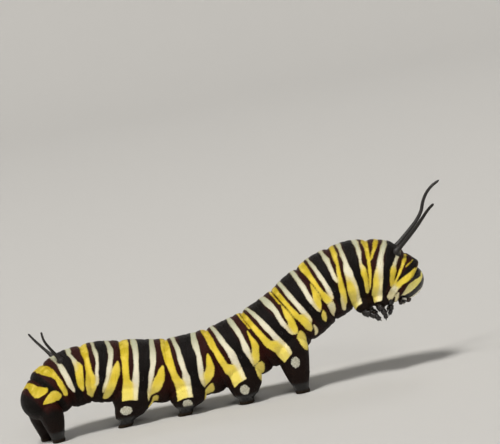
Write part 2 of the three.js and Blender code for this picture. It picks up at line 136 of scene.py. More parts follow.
# Pale stripes of each side. A row gives an angle from the back's midline, then the stripe's rear and front
# edges there, as shares of the segment.
STRIPES = {
    "abdomen_10": [
        ("yellow", [(-5, 0.62, 0.8), (38, 0.44, 0.83), (50, 0.43, 0.92), (61, 0.53, 1.04),
            (69, 0.8, 1.02)]),
        ("yellow", [(75, 0.7, 1.12), (81, 0.5, 1.2), (87, 0.48, 1.26), (95, 0.7, 1.28), (101, 0.88, 1.27),
            (105, 1.0, 1.1)]),
    ],
    "abdomen_9": [
        ("yellow", [(-5, 0.46, 0.92), (12, 0.36, 1.02), (30, 0.43, 1.05), (50, 0.68, 1.06),
            (63, 0.75, 1.06), (80, 0.61, 1.05), (100, 0.57, 1.02), (108, 0.6, 0.92)]),
    ],
    "abdomen_8": [
        ("white", [(-5, 0.17, 0.28), (30, 0.18, 0.28), (72, 0.11, 0.33), (92, 0.1, 0.32), (104, 0.16, 0.34),
            (111, 0.23, 0.31)]),
        ("white", [(-5, 0.6, 0.76), (15, 0.57, 0.73), (30, 0.55, 0.67), (42, 0.59, 0.71), (58, 0.6, 0.76),
            (72, 0.58, 0.68)]),
        ("yellow", [(52, 0.64, 0.76), (67, 0.56, 0.86), (80, 0.51, 0.8), (95, 0.49, 0.73),
            (107, 0.51, 0.68), (115, 0.56, 0.62)]),
    ],
    "abdomen_7": [
        ("yellow", [(-5, -0.04, 0.12), (40, -0.07, 0.11), (60, -0.05, 0.1), (78, -0.08, 0.11),
            (87, -0.13, 0.16), (94, -0.17, 0.26), (104, -0.22, 0.26), (112, -0.26, 0.16)]),
        ("white", [(-5, 0.21, 0.28), (30, 0.22, 0.3), (50, 0.25, 0.36), (68, 0.26, 0.35), (82, 0.2, 0.33),
            (94, 0.17, 0.33), (104, 0.16, 0.31), (112, 0.1, 0.25)]),
        ("yellow", [(106, -0.22, 0.28), (125, -0.27, 0.1), (137, -0.08, 0.04), (144, -0.02, 0.01)]),
        ("white", [(-5, 0.56, 0.68), (20, 0.59, 0.73), (35, 0.63, 0.79), (52, 0.65, 0.79), (84, 0.55, 0.72),
            (100, 0.51, 0.65), (112, 0.45, 0.57), (126, 0.41, 0.45)]),
        ("yellow", [(63, 0.89, 0.93), (70, 0.82, 0.97), (80, 0.73, 0.98), (90, 0.67, 0.97),
            (120, 0.48, 0.78), (132, 0.44, 0.71), (141, 0.43, 0.62), (147, 0.47, 0.55)]),
    ],
    "abdomen_6": [
        ("yellow", [(-5, -0.03, 0.15), (30, -0.01, 0.18), (60, 0.02, 0.17), (90, 0.04, 0.19),
            (100, 0.04, 0.21), (107, 0.04, 0.32), (130, 0.02, 0.32), (143, 0.02, 0.3), (149, 0.03, 0.24)]),
        ("white", [(-5, 0.19, 0.3), (30, 0.23, 0.36), (50, 0.27, 0.39), (80, 0.29, 0.4), (96, 0.27, 0.41),
            (106, 0.24, 0.41), (130, 0.27, 0.38), (142, 0.25, 0.35), (148, 0.2, 0.3)]),
        ("white", [(-5, 0.58, 0.69), (25, 0.6, 0.72), (45, 0.62, 0.76), (67, 0.64, 0.76), (92, 0.6, 0.71),
            (121, 0.58, 0.65), (134, 0.6, 0.61)]),
        ("yellow", [(72, 0.89, 0.92), (75, 0.86, 0.94), (80, 0.81, 0.94), (90, 0.77, 0.94),
            (100, 0.7, 0.92), (110, 0.65, 0.88), (119, 0.63, 0.82), (131, 0.6, 0.66)]),
        ("yellow", [(131, 0.74, 0.79), (141, 0.61, 0.78), (150, 0.57, 0.76), (156, 0.6, 0.7)]),
    ],
    "abdomen_5": [
        ("yellow", [(-5, -0.16, 0.02), (40, -0.1, 0.12), (60, -0.06, 0.15), (90, 0.05, 0.2),
            (101, 0.08, 0.24), (108, 0.11, 0.34), (130, 0.12, 0.35), (142, 0.12, 0.33), (149, 0.16, 0.27)]),
        ("white", [(-5, 0.11, 0.23), (25, 0.18, 0.29), (45, 0.24, 0.36), (90, 0.3, 0.41), (99, 0.29, 0.44),
            (107, 0.27, 0.44), (130, 0.3, 0.41), (141, 0.3, 0.39), (148, 0.24, 0.32)]),
        ("white", [(-5, 0.62, 0.74), (30, 0.62, 0.75), (50, 0.63, 0.77), (68, 0.67, 0.77), (92, 0.62, 0.75),
            (104, 0.62, 0.72), (120, 0.63, 0.7), (130, 0.66, 0.68)]),
        ("yellow", [(68, 0.9, 0.92), (72, 0.88, 0.94), (90, 0.81, 0.96), (98, 0.76, 0.96), (104, 0.7, 0.93),
            (111, 0.68, 0.89), (127, 0.66, 0.69)]),
        ("yellow", [(123, 0.79, 0.83), (128, 0.74, 0.84), (136, 0.66, 0.83), (143, 0.61, 0.82),
            (151, 0.59, 0.78), (156, 0.63, 0.72)]),
    ],
    "abdomen_4": [
        ("yellow", [(-5, -0.16, 0.0), (45, -0.04, 0.14), (60, -0.01, 0.16), (72, 0.04, 0.18),
            (100, 0.1, 0.24), (106, 0.11, 0.38), (112, 0.12, 0.4), (120, 0.16, 0.4), (130, 0.16, 0.4),
            (138, 0.16, 0.33), (144, 0.19, 0.26)]),
        ("white", [(-5, 0.1, 0.2), (40, 0.22, 0.34), (60, 0.27, 0.39), (80, 0.32, 0.47), (92, 0.32, 0.49),
            (101, 0.31, 0.48), (128, 0.36, 0.46), (136, 0.36, 0.41)]),
        ("white", [(-5, 0.56, 0.66), (15, 0.6, 0.71), (35, 0.62, 0.76), (50, 0.66, 0.79), (65, 0.69, 0.8),
            (88, 0.66, 0.8), (112, 0.69, 0.76), (124, 0.7, 0.72)]),
        ("yellow", [(60, 0.93, 0.95), (70, 0.9, 0.96), (80, 0.88, 0.99), (90, 0.86, 1.0), (97, 0.81, 0.99),
            (103, 0.75, 0.95), (117, 0.71, 0.87), (123, 0.7, 0.74)]),
        ("yellow", [(120, 0.79, 0.89), (125, 0.72, 0.9), (133, 0.69, 0.9), (143, 0.68, 0.87),
            (151, 0.68, 0.83), (157, 0.7, 0.78)]),
    ],
    "abdomen_3": [
        ("yellow", [(-5, -0.16, -0.09), (20, -0.12, -0.05), (40, -0.07, -0.02), (58, -0.02, 0.03)]),
        ("yellow", [(-5, -0.06, 0.03), (20, -0.03, 0.08), (98, 0.11, 0.28), (104, 0.13, 0.44),
            (120, 0.22, 0.49), (130, 0.22, 0.47), (136, 0.26, 0.38), (141, 0.3, 0.33)]),
        ("white", [(-5, 0.1, 0.19), (50, 0.26, 0.39), (90, 0.34, 0.48), (101, 0.35, 0.5), (122, 0.44, 0.56),
            (130, 0.42, 0.52)]),
        ("white", [(-5, 0.58, 0.72), (35, 0.64, 0.83), (52, 0.7, 0.85), (62, 0.71, 0.85), (74, 0.7, 0.82),
            (84, 0.68, 0.82), (106, 0.74, 0.81), (112, 0.77, 0.84)]),
        ("yellow", [(48, 1.0, 1.01), (75, 0.9, 1.03), (88, 0.86, 1.02), (94, 0.8, 1.01), (110, 0.77, 0.94),
            (114, 0.81, 0.88)]),
        ("yellow", [(113, 0.9, 0.96), (119, 0.81, 0.98), (128, 0.78, 0.98), (137, 0.79, 0.95),
            (145, 0.83, 0.88)]),
    ],
    "abdomen_2": [
        ("yellow", [(-5, -0.1, -0.02), (20, -0.08, 0.0), (52, -0.04, 0.0)]),
        ("yellow", [(-5, 0.03, 0.22), (20, 0.05, 0.24), (70, 0.07, 0.22), (91, 0.07, 0.23),
            (97, 0.08, 0.38), (108, 0.09, 0.38), (123, 0.1, 0.27), (130, 0.12, 0.2)]),
        ("white", [(-5, 0.34, 0.48), (30, 0.35, 0.49), (94, 0.29, 0.46), (108, 0.3, 0.44),
            (115, 0.3, 0.38)]),
        ("white", [(121, 0.31, 0.35), (130, 0.25, 0.35), (140, 0.17, 0.32), (149, 0.13, 0.25)]),
        ("white", [(-5, 0.8, 0.93), (20, 0.83, 0.95), (60, 0.8, 0.93), (80, 0.71, 0.88), (108, 0.69, 0.8),
            (113, 0.73, 0.78)]),
        ("yellow", [(63, 1.06, 1.09), (80, 0.93, 1.11), (88, 0.85, 1.1), (95, 0.79, 1.07),
            (104, 0.76, 0.98), (111, 0.75, 0.88)]),
        ("yellow", [(113, 0.82, 0.89), (120, 0.67, 0.89), (129, 0.64, 0.81), (138, 0.65, 0.69)]),
    ],
    "abdomen_1": [
        ("yellow", [(-5, 0.08, 0.29), (40, 0.1, 0.29), (60, 0.13, 0.28), (88, 0.13, 0.28), (104, 0.09, 0.4),
            (113, 0.1, 0.37)]),
        ("white", [(-5, 0.37, 0.46), (20, 0.38, 0.48), (40, 0.39, 0.53), (75, 0.4, 0.54), (90, 0.36, 0.54),
            (100, 0.33, 0.51), (110, 0.33, 0.45)]),
        ("white", [(110, 0.1, 0.38), (120, 0.06, 0.35), (130, 0.03, 0.26), (138, 0.01, 0.12),
            (150, 0.0, 0.04)]),
        ("white", [(-5, 0.8, 0.87), (25, 0.8, 0.9), (40, 0.8, 0.95), (72, 0.8, 0.9), (80, 0.77, 0.9),
            (90, 0.81, 0.93)]),
        ("yellow", [(-5, 1.04, 1.15), (35, 1.04, 1.16), (60, 1.02, 1.12), (80, 0.92, 1.06),
            (87, 0.84, 1.05), (110, 0.72, 0.97), (120, 0.6, 0.9), (130, 0.58, 0.8), (137, 0.55, 0.65)]),
        ("white", [(112, 0.66, 0.8), (120, 0.57, 0.76), (130, 0.5, 0.74), (140, 0.47, 0.63),
            (148, 0.5, 0.55)]),
    ],
    "metathorax": [
        ("white", [(-5, 0.22, 0.33), (40, 0.23, 0.35), (60, 0.24, 0.39), (70, 0.2, 0.4), (80, 0.18, 0.45),
            (92, 0.16, 0.46), (100, 0.28, 0.49), (112, 0.36, 0.5), (124, 0.34, 0.5), (150, 0.2, 0.5)]),
        ("yellow", [(84, 0.15, 0.28), (92, 0.14, 0.4), (100, 0.1, 0.45), (110, 0.06, 0.46),
            (120, 0.02, 0.44), (132, 0.0, 0.36), (150, 0.0, 0.3), (156, 0.05, 0.25)]),
        ("white", [(-5, 0.67, 0.8), (48, 0.73, 0.85), (60, 0.74, 0.83), (70, 0.72, 0.81),
            (80, 0.73, 0.85)]),
        ("yellow", [(71, 0.73, 0.83), (80, 0.73, 0.91), (90, 0.71, 0.94), (100, 0.75, 0.96),
            (124, 0.77, 0.98), (129, 0.85, 0.95)]),
        ("yellow", [(-5, 0.89, 1.03), (20, 0.9, 1.02), (95, 0.99, 1.09), (112, 0.99, 1.08),
            (123, 0.98, 1.04)]),
    ],
    "mesothorax": [
        ("yellow", [(-5, 0.18, 0.28), (20, 0.15, 0.28), (40, 0.12, 0.23), (66, 0.07, 0.09)]),
        ("white", [(-5, 0.4, 0.53), (25, 0.38, 0.53), (40, 0.32, 0.5), (60, 0.28, 0.45), (70, 0.25, 0.49),
            (85, 0.22, 0.51), (110, 0.4, 0.57), (125, 0.4, 0.62), (152, 0.42, 0.86)]),
        ("yellow", [(80, 0.22, 0.35), (100, 0.17, 0.51), (112, 0.16, 0.53), (125, 0.13, 0.52),
            (136, 0.15, 0.46), (142, 0.3, 0.4)]),
        ("white", [(-5, 0.83, 0.91), (35, 0.82, 0.9), (60, 0.78, 0.88), (72, 0.77, 0.9)]),
        ("yellow", [(67, 0.78, 0.88), (76, 0.76, 0.95), (80, 0.74, 0.96), (100, 0.83, 1.03),
            (110, 0.92, 1.1), (116, 1.0, 1.08)]),
    ],
    "prothorax": [
        ("yellow", [(10, 0.0, 0.1), (108, 0.06, 0.24)]),
        ("yellow", [(20, 0.43, 0.5), (35, 0.37, 0.44), (48, 0.27, 0.36), (57, 0.24, 0.29)]),
        ("yellow", [(-5, 0.9, 1.1), (36, 0.88, 1.1), (50, 0.73, 1.06), (80, 0.43, 0.86), (100, 0.21, 0.64),
            (112, 0.14, 0.59)]),
        ("white", [(106, 0.17, 0.58), (115, 0.08, 0.57), (134, 0.05, 0.62), (142, 0.3, 0.62),
            (151, 0.38, 0.6)]),
        ("white", [(118, 0.65, 0.73), (130, 0.66, 0.86), (140, 0.77, 0.93), (150, 0.88, 0.94)]),
    ],
}
# Pale spots on the leg bases, seen from the side: their segment, place along and up, and half sizes
SPOTS = [
    ("metathorax", 12.32, 6.3, 0.26, 0.32),
    ("mesothorax", 13.8, 6.85, 0.34, 0.3),
    ("prothorax", 15.1, 7.6, 0.22, 0.26),
]
# How far stripe edges wander, how round their ends are, and the length of a degree round the body
EDGE_WOBBLE = 0.02
ROUND_END = 0.28
ARC = 0.053

# Middles of the broad black bands, high and low on the flank, as shares of the segment, and their half width
VELVET = {
    "abdomen_10": (0.15, 0.15, 0.22),
    "abdomen_9": (0.1, 0.2, 0.2),
    "abdomen_8": (0.43, 0.4, 0.17),
    "abdomen_7": (0.46, 0.4, 0.17),
    "abdomen_6": (0.5, 0.48, 0.17),
    "abdomen_5": (0.5, 0.52, 0.17),
    "abdomen_4": (0.45, 0.56, 0.17),
    "abdomen_3": (0.45, 0.6, 0.17),
    "abdomen_2": (0.65, 0.6, 0.17),
    "abdomen_1": (0.66, 0.6, 0.15),
    "metathorax": (0.54, 0.6, 0.17),
    "mesothorax": (0.66, 0.66, 0.16),
    "prothorax": (0.6, 0.4, 0.2),
}

# Filaments: root flare and its reach, thinning towards the tip, points along the path, and the bare ring of
# skin round each root
FLARE = 0.16
FLARE_REACH = 0.28
THINNING = 0.42
FILAMENT_POINTS = 70
BARE_RING = 0.42

# Thickness of a leg's three lengths, as shares of its radius
LEG_TAPER = (1.0, 0.78, 0.6)

# Simple eyes: the group's middle and half sizes, as angles on the head, an eye's radius and the count a side
EYES = {"side": 56, "up": -44, "half_side": 9, "half_up": 8, "radius": 0.085, "count": 6}

# Feelers: the root and the way they point, as angles on the head, their length and the points along them
FEELER = {"root": (58.0, -50.0), "way": (46.0, -56.0), "length": 0.82, "points": 36}

# Breathing holes: angle from the back's midline, half length, half height, and the rim's radius and sides
SPIRACLE = {"angle": 97.0, "half_long": 0.1, "half_high": 0.19, "rim": 0.035, "points": 24, "sides": 8}

# Millimetres to a degree on the head
HEAD_ARC = np.radians(1) * 1.6

# Lights: place in metres, size, power and tint. Then what they aim at, the world and the floor
LIGHTS = {
    "key": ((-0.5, -0.9, 2.0), 0.6, 45.0, (1.0, 0.98, 0.95)),
    "fill": ((0.5, -2.0, 0.9), 0.8, 26.0, (1.0, 0.98, 0.95)),
    "rim": ((0.4, 1.5, 1.5), 0.6, 4.0, (1.0, 0.99, 0.96)),
}
LIGHT_AIM = (0.0, 0.0, 0.007)
WORLD_COLOUR = (0.95, 0.97, 1.0, 1.0)
WORLD_STRENGTH = 0.14
FLOOR_COLOUR = (0.54, 0.53, 0.51, 1.0)
FLOOR_RADIUS = 0.6
COVE_RADIUS = 0.7

# Camera: what it aims at, how far off it is, how far it looks down and how far it is rolled
AIM = np.array([3.0, 0.7, 17.35])
CAMERA_DISTANCE = 220.0
CAMERA_ELEVATION = 6.0
CAMERA_ROLL = 11.0
VIEW_WIDTH = 49.0
SENSOR_WIDTH = 36


def unit(v):
    return v / np.linalg.norm(v, axis=-1, keepdims=True)


def smooth(value, low, high):
    t = np.clip((value - low) / (high - low), 0, 1)
    return t * t * (3 - 2 * t)


def bump(distance, width):
    return np.exp(-((distance / width) ** 2))


def heading(pitch, yaw):
    p, y = np.radians(pitch), np.radians(yaw)
    return np.stack([np.cos(p) * np.cos(y), np.cos(p) * np.sin(y), np.sin(p) + 0 * y], -1)


def along(s, column):
    """A value given at each segment's middle, read smoothly anywhere along the body."""
    values = SHAPE[:, column]
    i = np.clip(np.searchsorted(MIDDLES, s), 1, len(MIDDLES) - 1)
    t = smooth(s, MIDDLES[i - 1], MIDDLES[i])
    return values[i - 1] * (1 - t) + values[i] * t


def body_line():
    count = int((BODY_LENGTH + 2) / STEP)
    s = (np.arange(count) + 0.5) * STEP
    steps = heading(along(s, PITCH), along(s, YAW)) * STEP
    start = np.array([[0, 0, TAIL_HEIGHT]]) - ORIGIN
    return np.concatenate([start, start + np.cumsum(steps, 0)])


LINE = body_line()


def station(s):
    """Centre of the body's section at s, with its forward, right and up directions."""
    s = np.asarray(s, float)
    i = np.clip((s / STEP).astype(int), 0, len(LINE) - 2)
    t = (s / STEP - i)[..., None]
    centre = LINE[i] * (1 - t) + LINE[i + 1] * t
    forward = heading(along(s, PITCH), along(s, YAW))
    right = unit(np.stack([forward[..., 1], -forward[..., 0], 0 * s], -1))
    return centre, forward, right, np.cross(right, forward)


def closing(s):
    """Share of the radius left where the skin closes, over the tail and at the collar behind the head."""
    tail = np.sqrt(1 - (1 - np.clip(s / LENGTHS[0], 0, 1)) ** TAIL_ROUNDNESS)
    t = np.clip((s - BODY_LENGTH + COLLAR_LENGTH) / COLLAR_LENGTH, 0, 1)
    return tail * (1 - COLLAR_NARROWING * (1 - np.sqrt(1 - t**2)))


def relief(s, angle):
    """Height of the skin over its plain section: folds, ring grooves and the ridge above the prolegs."""
    height = np.zeros(np.broadcast(s, angle).shape)
    for start, length in zip(STARTS, LENGTHS):
        if start > 0:
            depth = FOLD_DEPTH + 0.03 * np.cos(angle * 3 + start)
            crease = CREASE_DEPTH * bump(s - start, CREASE_REACH)
            height = height - depth * bump(s - start, FOLD_REACH) - crease
        if start == 0 or length < LONG_SEGMENT:
            continue
        for place in ANNULETS:
            wander = 0.05 * np.sin(angle * 2.3 + start)
            height = height - ANNULET_DEPTH * bump(s - start - place * length - wander, ANNULET_REACH)
    away = np.abs(np.degrees(angle))
    ridge = bump(away - RIDGE[0], RIDGE[1]) * RIDGE[2] - bump(away - HOLLOW[0], HOLLOW[1]) * HOLLOW[2]
    waves = np.sin(s * 4.1 + 3 * np.cos(angle)) + np.sin(s * 2.3 + 2 * angle)
    return height + ridge * (s > 3) + RIPPLE * waves


def section(s, angle, grow=0.0):
    """Point of the skin, grown outwards by a height."""
    centre, _, right, up = station(s)
    share = closing(s)
    c = np.cos(angle)
    fullness = np.where(c < 0, 1 - BELLY_FULLNESS * c, 1)
    across = (along(s, WIDTH) / 2 * share + grow) * np.sin(angle)
    upward = (along(s, DEPTH) / 2 * share + grow) * c * fullness
    return centre + right * across[..., None] + up * upward[..., None]


def loft(rings):
    """Points and faces of a closed skin through rings with the same count."""
    rings = np.asarray(rings)
    rows, count, _ = rings.shape
    points = np.concatenate([rings.reshape(-1, 3), rings[[0, -1]].mean(1)])
    a = np.arange(rows - 1)[:, None] * count + np.arange(count)
    b = np.arange(rows - 1)[:, None] * count + (np.arange(count) + 1) % count
    faces = np.stack([a, b, b + count, a + count], -1).reshape(-1, 4).tolist()
    first, last = rows * count, rows * count + 1
    for i in range(count):
        j = (i + 1) % count
        faces.append([first, j, i])
        faces.append([last, (rows - 1) * count + i, (rows - 1) * count + j])
    return points, faces


def joined(shapes):
    """Several shapes as one list of points and one of faces."""
    points, faces, before = [], [], 0
    for shape_points, shape_faces in shapes:
        points.append(shape_points)
        faces += [[i + before for i in face] for face in shape_faces]
        before += len(shape_points)
    return np.concatenate(points), faces


def smooth_shaded(mesh):
    mesh.polygons.foreach_set("use_smooth", [True] * len(mesh.polygons))


def mesh_points(mesh):
    points = np.empty(len(mesh.vertices) * 3)
    mesh.vertices.foreach_get("co", points)
    return points.reshape(-1, 3)


def finish_mesh(mesh, points, look):
    """Points moved to their final places, given in millimetres, with one material."""
    mesh.vertices.foreach_set("co", (points * MILLIMETRE).ravel())
    smooth_shaded(mesh)
    mesh.materials.clear()
    mesh.materials.append(look)


def mesh_object(name, points, faces, scale=MILLIMETRE):
    mesh = bpy.data.meshes.new(name)
    mesh.from_pydata((np.asarray(points) * scale).tolist(), [], faces)
    mesh.update()
    smooth_shaded(mesh)
    made = bpy.data.objects.new(name, mesh)
    bpy.context.scene.collection.objects.link(made)
    return made


def finish_piece(made, slot, *nodes):
    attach(made, "root")
    if nodes:
        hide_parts(*nodes)


def dressed(name, shape, look, slot, *nodes):
    made = mesh_object(name, *shape)
    made.data.materials.append(look)
    finish_piece(made, slot, *nodes)
    return made


def smooth_path(points, count):
    """Evenly spaced points of a smooth curve through the given ones."""
    points = np.asarray(points, float)
    ends = np.concatenate([[2 * points[0] - points[1]], points, [2 * points[-1] - points[-2]]])
    places = np.linspace(0, len(points) - 1, count)
    i = np.minimum(places.astype(int), len(points) - 2)
    t = (places - i)[:, None]
    a, b, c, d = ends[i], ends[i + 1], ends[i + 2], ends[i + 3]
    return 0.5 * (2 * b + (c - a) * t + (2 * a - 5 * b + 4 * c - d) * t**2 + (3 * b - a - 3 * c + d) * t**3)


def tube(path, radii, sides=16, flat=1.0):
    """Round bar along a path, with a radius for each point."""
    path = np.asarray(path, float)
    tangents = unit(np.gradient(path, axis=0))
    normal = unit(np.cross(tangents[0], [0.3, 0.9, 0.2]))
    turns = np.linspace(0, 2 * math.pi, sides, endpoint=False)
    rings = []
    for point, tangent, radius in zip(path, tangents, radii):
        normal = unit(normal - tangent * np.dot(normal, tangent))
        other = np.cross(tangent, normal)
        circle = np.outer(np.cos(turns), normal) + flat * np.outer(np.sin(turns), other)
        rings.append(point + radius * circle)
    return loft(rings)


def root_of(limb, sign):
    """Where a limb leaves the skin, and the way into the body from there."""
    segment, share, angle = limb[:3]
    i = NAMES.index(segment)
    s = np.array(STARTS[i] + share * LENGTHS[i])
    root = section(s, np.array(sign * math.radians(angle)))
    return root, unit(station(s)[0] - root)


def limb_line(limb, sign):
    """Corner points of a leg or filament, from the skin to its tip, and the way in."""
    root, inward = root_of(limb, sign)
    length, pitches, leans = limb[3], limb[5], limb[6]
    points = [root]
    for pitch, lean in zip(pitches, leans):
        way = heading(np.array(float(pitch)), np.array(0.0)) * math.cos(math.radians(lean))
        way[1] -= sign * math.sin(math.radians(lean))
        points.append(points[-1] + way * length / len(pitches))
    return np.array(points), inward


# Materials
def material(name):
    made = bpy.data.materials.new(name)
    made.use_nodes = True
    return made, made.node_tree, made.node_tree.nodes["Principled BSDF"]


def node(tree, kind, inputs=None, **settings):
    made = tree.nodes.new(kind)
    for key, value in settings.items():
        setattr(made, key, value)
    for key, value in (inputs or {}).items():
        if isinstance(value, bpy.types.NodeSocket):
            tree.links.new(value, made.inputs[key])
        else:
            made.inputs[key].default_value = value
    return made


def attribute(tree, name, output="Fac"):
    made = node(tree, "ShaderNodeAttribute", attribute_name=name, attribute_type="GEOMETRY")
    return made.outputs[output]


def position_of(tree):
    return node(tree, "ShaderNodeNewGeometry").outputs["Position"]


def math_node(tree, operation, a, b=0.0):
    return node(tree, "ShaderNodeMath", {0: a, 1: b}, operation=operation).outputs[0]


def between(tree, value, low, high, to_low=0.0, to_high=1.0):
    """A value mapped smoothly from one range to another."""
    inputs = {"Value": value, "From Min": low, "From Max": high, "To Min": to_low, "To Max": to_high}
    return node(tree, "ShaderNodeMapRange", inputs, interpolation_type="SMOOTHSTEP").outputs["Result"]


def mix(tree, factor, a, b):
    made = node(tree, "ShaderNodeMix", data_type="RGBA")
    for socket, value in ((0, factor), (6, a), (7, b)):
        if isinstance(value, bpy.types.NodeSocket):
            tree.links.new(value, made.inputs[socket])
        else:
            made.inputs[socket].default_value = value
    return made.outputs[2]


def noise(tree, vector, scale, detail=3.0, stretch=(1, 1, 1)):
    mapped = node(tree, "ShaderNodeMapping", {"Vector": vector, "Scale": stretch}).outputs["Vector"]
    inputs = {"Vector": mapped, "Scale": scale, "Detail": detail}
    return node(tree, "ShaderNodeTexNoise", inputs).outputs["Fac"]


def colour(text):
    """A display colour such as e8c83a as the linear colour that a shader takes."""
    values = [int(text[i : i + 2], 16) / 255 for i in (0, 2, 4)]
    return (*[v / 12.92 if v <= 0.04045 else ((v + 0.055) / 1.055) ** 2.4 for v in values], 1.0)


def bumped(tree, shader, *layers):
    """Relief from several heights, each with its depth in millimetres."""
    normal = None
    for height, depth in layers:
        inputs = {"Height": height, "Distance": depth * MILLIMETRE, "Strength": 1.0}
        if normal is not None:
            inputs["Normal"] = normal
        normal = node(tree, "ShaderNodeBump", inputs).outputs["Normal"]
    tree.links.new(normal, shader.inputs["Normal"])


def skin_material():
    made, tree, shader = material("larva_skin")
    place = attribute(tree, "place", "Vector")
    fields = ("yellow", "white", "dot", "velvet", "low", "gloss", "pad")
    yellow, white, dot, velvet, low, gloss, pad = (attribute(tree, name) for name in fields)
    fine = noise(tree, place, 9.0, 4.0)
    broad = noise(tree, place, 1.1, 3.0)
    grain = noise(tree, place, 26.0, 3.0)
    wrinkles = noise(tree, place, 5.5, 5.0, (1.6, 0.32, 1.0))
    ragged = between(tree, fine, 0.25, 0.75, -0.05, 0.05)
    pale = math_node(tree, "ADD", math_node(tree, "MAXIMUM", yellow, white), ragged)
    is_pale = between(tree, pale, -0.035, 0.035)
    is_yellow = between(tree, math_node(tree, "SUBTRACT", yellow, white), -0.55, 0.45)
    # Painted shade: yellows are darker and duller near the back, full yellow down the flank
    clear_of_back_shade = between(tree, low, 0.12, 0.5)
    belly = between(tree, low, 0.55, 0.74)
    yellows = mix(tree, clear_of_back_shade, colour("b8a018"), colour("f5da48"))
    yellows = mix(tree, math_node(tree, "MULTIPLY", belly, 0.8), yellows, colour("fdec82"))
    yellows = mix(tree, between(tree, broad, 0.4, 0.7, 0.0, 0.5), yellows, colour("fbe46c"))
    # Painted shade: whites are greyer near the back, brighter down the flank
    whites = mix(tree, clear_of_back_shade, colour("b5b69a"), colour("f7f0d6"))
    whites = mix(tree, math_node(tree, "MULTIPLY", belly, 0.6), whites, colour("fcefab"))
    whites = mix(tree, between(tree, fine, 0.5, 0.8, 0.0, 0.25), whites, colour("fbf6e6"))
    pales = mix(tree, is_yellow, whites, yellows)
    edge = between(tree, pale, 0.0, 0.16, 0.3, 0.0)
    pales = mix(tree, edge, pales, colour("8a6a1c"))
    blacks = mix(tree, velvet, colour("2c0803"), colour("0c0705"))
    blacks = mix(tree, between(tree, low, 0.6, 0.8, 0.0, 0.8), blacks, colour("180a05"))
    blacks = mix(tree, between(tree, fine, 0.5, 0.85, 0.0, 0.3), blacks, colour("2e1c12"))
    both = mix(tree, is_pale, blacks, pales)
    is_dot = between(tree, math_node(tree, "ADD", dot, ragged), -0.03, 0.03)
    dots = mix(tree, between(tree, fine, 0.4, 0.65), colour("bdbaa6"), colour("dddbca"))
    both = mix(tree, is_dot, both, dots)
    both = mix(tree, gloss, both, colour("080605"))
    both = mix(tree, pad, both, colour("241a0d"))
    tree.links.new(both, shader.inputs["Base Color"])
    smoother = math_node(tree, "MULTIPLY", is_pale, 0.06)
    rough = math_node(tree, "SUBTRACT", between(tree, grain, 0.3, 0.7, 0.4, 0.56), smoother)
    tree.links.new(rough, shader.inputs["Roughness"])
    tree.links.new(math_node(tree, "MULTIPLY", gloss, 0.7), shader.inputs["Coat Weight"])
    shader.inputs["Coat Roughness"].default_value = 0.1
    shader.inputs["Specular IOR Level"].default_value = 0.12
    shader.inputs["Subsurface Weight"].default_value = 0.05
    shader.inputs["Subsurface Radius"].default_value = (0.0005, 0.0003, 0.00015)
    bumped(tree, shader, (wrinkles, 0.14), (grain, 0.025))
    return made


def horn_material(name, base, tint, roughness):
    """Hard glossy cuticle with a faint pebbled surface."""
    made, tree, shader = material(name)
    place = position_of(tree)
    broad = noise(tree, place, 450.0, 3.0)
    pebbles = noise(tree, place, 3600.0, 2.0)
    mottled = mix(tree, between(tree, broad, 0.4, 0.75), colour(base), colour(tint))
    tree.links.new(mottled, shader.inputs["Base Color"])
    tree.links.new(between(tree, pebbles, 0.3, 0.7, roughness, roughness + 0.14), shader.inputs["Roughness"])
    shader.inputs["Specular IOR Level"].default_value = 0.55
    bumped(tree, shader, (pebbles, 0.02))
    return made


def head_material():
    made, tree, shader = material("head_cuticle")
    position = position_of(tree)
    yellow, white, red, low = (attribute(tree, name) for name in ("yellow", "white", "red", "low"))
    fine = noise(tree, position, 6000.0, 3.0)
    pebbles = noise(tree, position, 4200.0, 2.0)
    ragged = between(tree, fine, 0.25, 0.75, -0.03, 0.03)
    pale = math_node(tree, "ADD", math_node(tree, "MAXIMUM", yellow, white), ragged)
    is_pale = between(tree, pale, -0.03, 0.03)
    is_yellow = between(tree, math_node(tree, "SUBTRACT", yellow, white), -0.04, 0.04)
    yellows = mix(tree, between(tree, low, 0.1, 0.9), colour("e9dc74"), colour("fff3b4"))
    pales = mix(tree, is_yellow, colour("ece6cc"), yellows)
    darks = mix(tree, red, colour("100b09"), colour("3a0c08"))
    tree.links.new(mix(tree, is_pale, darks, pales), shader.inputs["Base Color"])
    tree.links.new(between(tree, pebbles, 0.3, 0.7, 0.22, 0.36), shader.inputs["Roughness"])
    shader.inputs["Specular IOR Level"].default_value = 0.5
    bumped(tree, shader, (pebbles, 0.016))
    return made


def grained_material(name, scale, depth, roughness):
    """Fine-grained cuticle without its colour: material, tree, shader and grain."""
    made, tree, shader = material(name)
    grain = noise(tree, position_of(tree), scale, 3.0)
    shader.inputs["Roughness"].default_value = roughness
    bumped(tree, shader, (grain, depth))
    return made, tree, shader, grain


def feeler_material():
    """Cuticle that is pale where the attribute says so."""
    made, tree, shader, grain = grained_material("feeler_cuticle", 5000.0, 0.012, 0.35)
    light = attribute(tree, "light")
    pales = mix(tree, between(tree, grain, 0.4, 0.7), colour("e4dfd2"), colour("b5afa2"))
    tree.links.new(mix(tree, light, colour("14100e"), pales), shader.inputs["Base Color"])
    return made


# The skin: body, prolegs and leg bases as one closed form
def proleg_frame(proleg, size, sign):
    """What a proleg is built from: foot, root, level and side directions, and the belly's height there."""
    segment, root_offset, foot_offset, _, _ = proleg
    i = NAMES.index(segment)
    centre, forward, right, _ = station(np.array(MIDDLES[i]))
    level = unit(np.array([forward[0], forward[1], 0.0]))
    side = right * sign
    root = centre + level * root_offset + side * size["side"]
    foot = centre + level * foot_offset + side * size["side"]
    slope = forward[2] / math.hypot(forward[0], forward[1])
    belly = centre[2] + root_offset * slope - SHAPE[i, DEPTH] / 2 * (1 + BELLY_FULLNESS)
    return foot, root, level, side, belly


